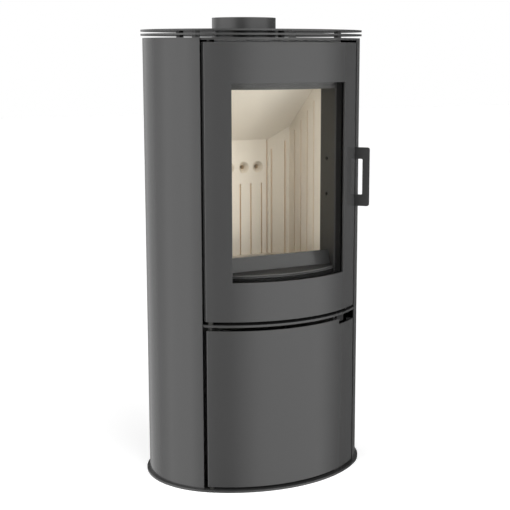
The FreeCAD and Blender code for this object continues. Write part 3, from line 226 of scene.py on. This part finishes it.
def clear_glass(name):
    """Thin clear pane: it lets light straight through, and mirrors little but at low angles."""
    material, tree, shader = new_material(name)
    tree.nodes.remove(shader)
    through = tree.nodes.new("ShaderNodeBsdfTransparent")
    mirror = tree.nodes.new("ShaderNodeBsdfGlossy")
    haze = noise(tree, object_coordinates(tree), scale=6.0)
    clear = ramp(tree, haze, [(0.3, (0.985, 0.985, 0.98)), (0.7, (1.0, 1.0, 0.995))])
    tree.links.new(clear, through.inputs["Color"])
    tree.links.new(spread(tree, haze, 0.02, 0.04), mirror.inputs["Roughness"])
    slant = tree.nodes.new("ShaderNodeLayerWeight")
    slant.inputs["Blend"].default_value = 0.5
    rise = calculate(tree, "POWER", slant.outputs["Facing"], 7.0)
    mix_shaders(tree, calculate(tree, "MULTIPLY_ADD", rise, 0.9, 0.005),
                through.outputs["BSDF"], mirror.outputs["BSDF"], "OUTPUT_MATERIAL")
    return material


def mix_shaders(tree, factor, first, second, output_kind):
    """Shows a mix of two shaders at a tree's output."""
    mix = tree.nodes.new("ShaderNodeMixShader")
    tree.links.new(factor, mix.inputs["Fac"])
    tree.links.new(first, mix.inputs[1])
    tree.links.new(second, mix.inputs[2])
    output = first_node(tree, output_kind)
    tree.links.new(mix.outputs["Shader"], output.inputs["Surface"])


def rope(name, colour):
    """Twisted glass-fibre cord."""
    material, tree, shader = new_material(name)
    wave = tree.nodes.new("ShaderNodeTexWave")
    wave.inputs["Scale"].default_value = 90.0
    wave.inputs["Distortion"].default_value = 2.0
    tree.links.new(object_coordinates(tree), wave.inputs["Vector"])
    twist = wave.outputs["Fac"]
    strands = ramp(tree, twist, [(0.2, shade(colour, 0.6)), (0.8, shade(colour, 1.3))])
    tree.links.new(strands, shader.inputs["Base Color"])
    tree.links.new(spread(tree, twist, 0.85, 0.95), shader.inputs["Roughness"])
    bump(tree, shader, twist, strength=0.4, distance=0.001)
    return material


def dress(node, material):
    """Gives a CAD node one material."""
    for holder in nodes[node].material_slots:
        holder.material = material


# Casing paint with a painted highlight along its sharp edges
CASING_GLOSS = {"roughness": 0.12, "ior": 1.6, "edge_highlight": 1.7}
SLOT_LOOKS = {
    "casing_paint": paint("stove_grey", grey(0.04), **CASING_GLOSS),
    # Black steel with a wider, stronger painted highlight along its edges
    "black_steel": paint("heat_black", (0.024, 0.024, 0.022), 0.5, edge=0.002, edge_highlight=3.5),
    "bare_steel": steel("plain_steel", grey(0.42), 0.38),
    "lining_board": lining_board("vermiculite", (0.76, 0.7, 0.6)),
    "grate_iron": paint("cast_iron", grey(0.03), 0.7, grain=0.2),
    "door_glass": clear_glass("pane"),
    "seal_rope": rope("black_rope", grey(0.08)),
}
for part in frame["record"]["subparts"]:
    dress(part["node"], SLOT_LOOKS[part["material_slot"]])

# Pieces that don't look like the rest of their slot
# Black steel made darker still, partly painted shade in the jamb where the door frame and keeper
# screws sit
DULL_BLACK = paint("dull_black", grey(0.006), 0.6, shine=0.15)
# Painted shade and light on the front frame: near black at the bottom, grey higher up, and a light
# strip at its top edge where it shows in the gap over the door
FRAME_GREYS = [(0.55, 0.006), (0.88, 0.085), (1.008, 0.085), (1.013, 0.3)]
NODE_LOOKS = {
    "door_handle": paint("handle_black", grey(0.022), 0.5),
    "air_lever": paint("lever_black", grey(0.009), 0.5),
    "door_frame": DULL_BLACK,
    "keeper_screws": DULL_BLACK,
    "front_frame": shaded_paint("height_shaded_grey", FRAME_GREYS),
    "flue_collar": paint("collar_grey", grey(0.055), **CASING_GLOSS),
    "front_lintel": paint("lintel_grey", (0.065, 0.065, 0.063), 0.5),
    # A strong painted highlight along the sill's front edge
    "front_sill": paint("sill_black", grey(0.024), 0.5, edge=0.003, edge_highlight=9.0),
    # A darker copy of the lining, as painted shade on the hearth board's lamp-lit rim
    "hearth_board": lining_board("hearth", (0.62, 0.56, 0.48)),
    # A light grey, partly the sheet's own colour and partly painted light that keeps the gaps
    # around the lower door from going black
    "lower_carcass": paint("carcass_grey", grey(0.2), 0.5),
    # Lighter grey than the rope, partly a painted highlight for the thin light line along the
    # pane's edge
    "glass_gasket": rope("gasket_grey", grey(0.05)),
}
for name, look in NODE_LOOKS.items():
    dress(name, look)


# Floor, light and camera

FLOOR_SIZE = 30
FLOOR_LIFT = 0.45  # the floor's own light to the camera, which brings its far part to white

# Brightness of the studio all round: dim walls and three soft boxes, each with the azimuth of its
# middle, 0 at the right and 90 at the back, its half width in degrees and its brightness
WALL_LEVEL = 0.12
SOFT_BOXES = {"left": (175, 20, 1.2), "front": (-64, 28, 0.8), "back": (108, 12, 0.7)}
SOFT_EDGE = 28  # degrees over which a soft box fades out at either side
STUDIO_STEP = 12  # degrees between the stops of the studio's colour ramp
STUDIO_STRENGTH = 2.0  # a colour ramp ends at 1, so the levels are divided by this

SENSOR_MM = 36
LENS_MM = 83.22
CAMERA_SHIFT = (-0.0314, 0.0092)
CAMERA_PLACE = (-1.33132, -2.45114, 0.99357)
CAMERA_PITCH, CAMERA_YAW = 10.01, 29.38  # degrees down, and to the right of straight back


def stage_floor():
    """White floor that shows the object's shadow and stays out of its reflections."""
    bpy.ops.mesh.primitive_plane_add(size=FLOOR_SIZE, location=(0, 0, 0))
    floor = bpy.context.object
    floor.name = "floor"
    floor.visible_glossy = False
    material, tree, shader = new_material("floor_white")
    cloud = noise(tree, object_coordinates(tree), scale=2.0)
    pale = ramp(tree, cloud, [(0.3, grey(0.9)), (0.7, grey(0.92))])
    tree.links.new(pale, shader.inputs["Base Color"])
    shader.inputs["Roughness"].default_value = 0.9
    shader.inputs["Specular IOR Level"].default_value = 0.0
    shader.inputs["Emission Color"].default_value = (*WHITE, 1)
    path = tree.nodes.new("ShaderNodeLightPath")
    lift = calculate(tree, "MULTIPLY", path.outputs["Is Camera Ray"], FLOOR_LIFT)
    tree.links.new(lift, shader.inputs["Emission Strength"])
    floor.data.materials.append(material)


def studio_level(azimuth):
    """Brightness of the studio at an azimuth in degrees."""
    level = WALL_LEVEL
    for middle, half_width, brightness in SOFT_BOXES.values():
        away = abs((azimuth - middle + 180) % 360 - 180)
        level += brightness * min(max((half_width + SOFT_EDGE - away) / SOFT_EDGE, 0), 1)
    return level


def stage_world():
    """Studio that is plain white to the camera, and lighter and darker in turn as light."""
    world = bpy.data.worlds.new("studio")
    bpy.context.scene.world = world
    world.use_nodes = True
    tree = world.node_tree
    light = first_node(tree, "BACKGROUND")
    coordinates = tree.nodes.new("ShaderNodeTexCoord")
    turn = tree.nodes.new("ShaderNodeTexGradient")
    turn.gradient_type = "RADIAL"
    tree.links.new(coordinates.outputs["Generated"], turn.inputs["Vector"])
    stops = [((azimuth + 180) / 360, grey(studio_level(azimuth) / STUDIO_STRENGTH))
             for azimuth in range(-180, 181, STUDIO_STEP)]
    tree.links.new(ramp(tree, turn.outputs["Fac"], stops), light.inputs["Color"])
    light.inputs["Strength"].default_value = STUDIO_STRENGTH
    seen = tree.nodes.new("ShaderNodeBackground")
    seen.inputs["Color"].default_value = (*WHITE, 1)
    seen.inputs["Strength"].default_value = 1.0
    path = tree.nodes.new("ShaderNodeLightPath")
    mix_shaders(tree, path.outputs["Is Camera Ray"],
                light.outputs["Background"], seen.outputs["Background"], "OUTPUT_WORLD")


def soft_lamp(name, place, aim, size, power):
    """Rectangular lamp, size metres wide and high, that stays out of reflections."""
    data = bpy.data.lights.new(name, "AREA")
    data.shape = "RECTANGLE"
    data.size, data.size_y = size
    data.energy = power
    lamp = bpy.data.objects.new(name, data)
    lamp.visible_glossy = False
    bpy.context.scene.collection.objects.link(lamp)
    lamp.location = place
    x, y, z = (a - p for a, p in zip(aim, place))
    lamp.rotation_euler = (math.pi / 2 + math.atan2(z, math.hypot(x, y)), 0, math.atan2(-x, y))


def stage_camera():
    """Camera at the photograph's viewing angle and framing."""
    data = bpy.data.cameras.new("camera")
    data.sensor_width = SENSOR_MM
    data.lens = LENS_MM
    data.shift_x, data.shift_y = CAMERA_SHIFT
    camera = bpy.data.objects.new("camera", data)
    bpy.context.scene.collection.objects.link(camera)
    camera.location = CAMERA_PLACE
    camera.rotation_euler = (math.radians(90 - CAMERA_PITCH), 0, math.radians(-CAMERA_YAW))
    bpy.context.scene.camera = camera


stage_floor()
stage_world()
soft_lamp("front_fill", place=(0, -3, 0.5), aim=(0, 0, 0.7), size=(4, 1), power=15)
soft_lamp("right_fill", place=(1.4, -2.6, 0.5), aim=(0, 0, 0.7), size=(1.5, 1), power=40)
soft_lamp("far_left", place=(-2.8, -1.5, 0.7), aim=(0, 0, 0.7), size=(1, 1.2), power=37)
soft_lamp("high_front", place=(0, -2.4, 1.9), aim=(0, 0, 0.5), size=(2, 0.6), power=25)
stage_camera()
bpy.context.scene.view_settings.view_transform = "Standard"
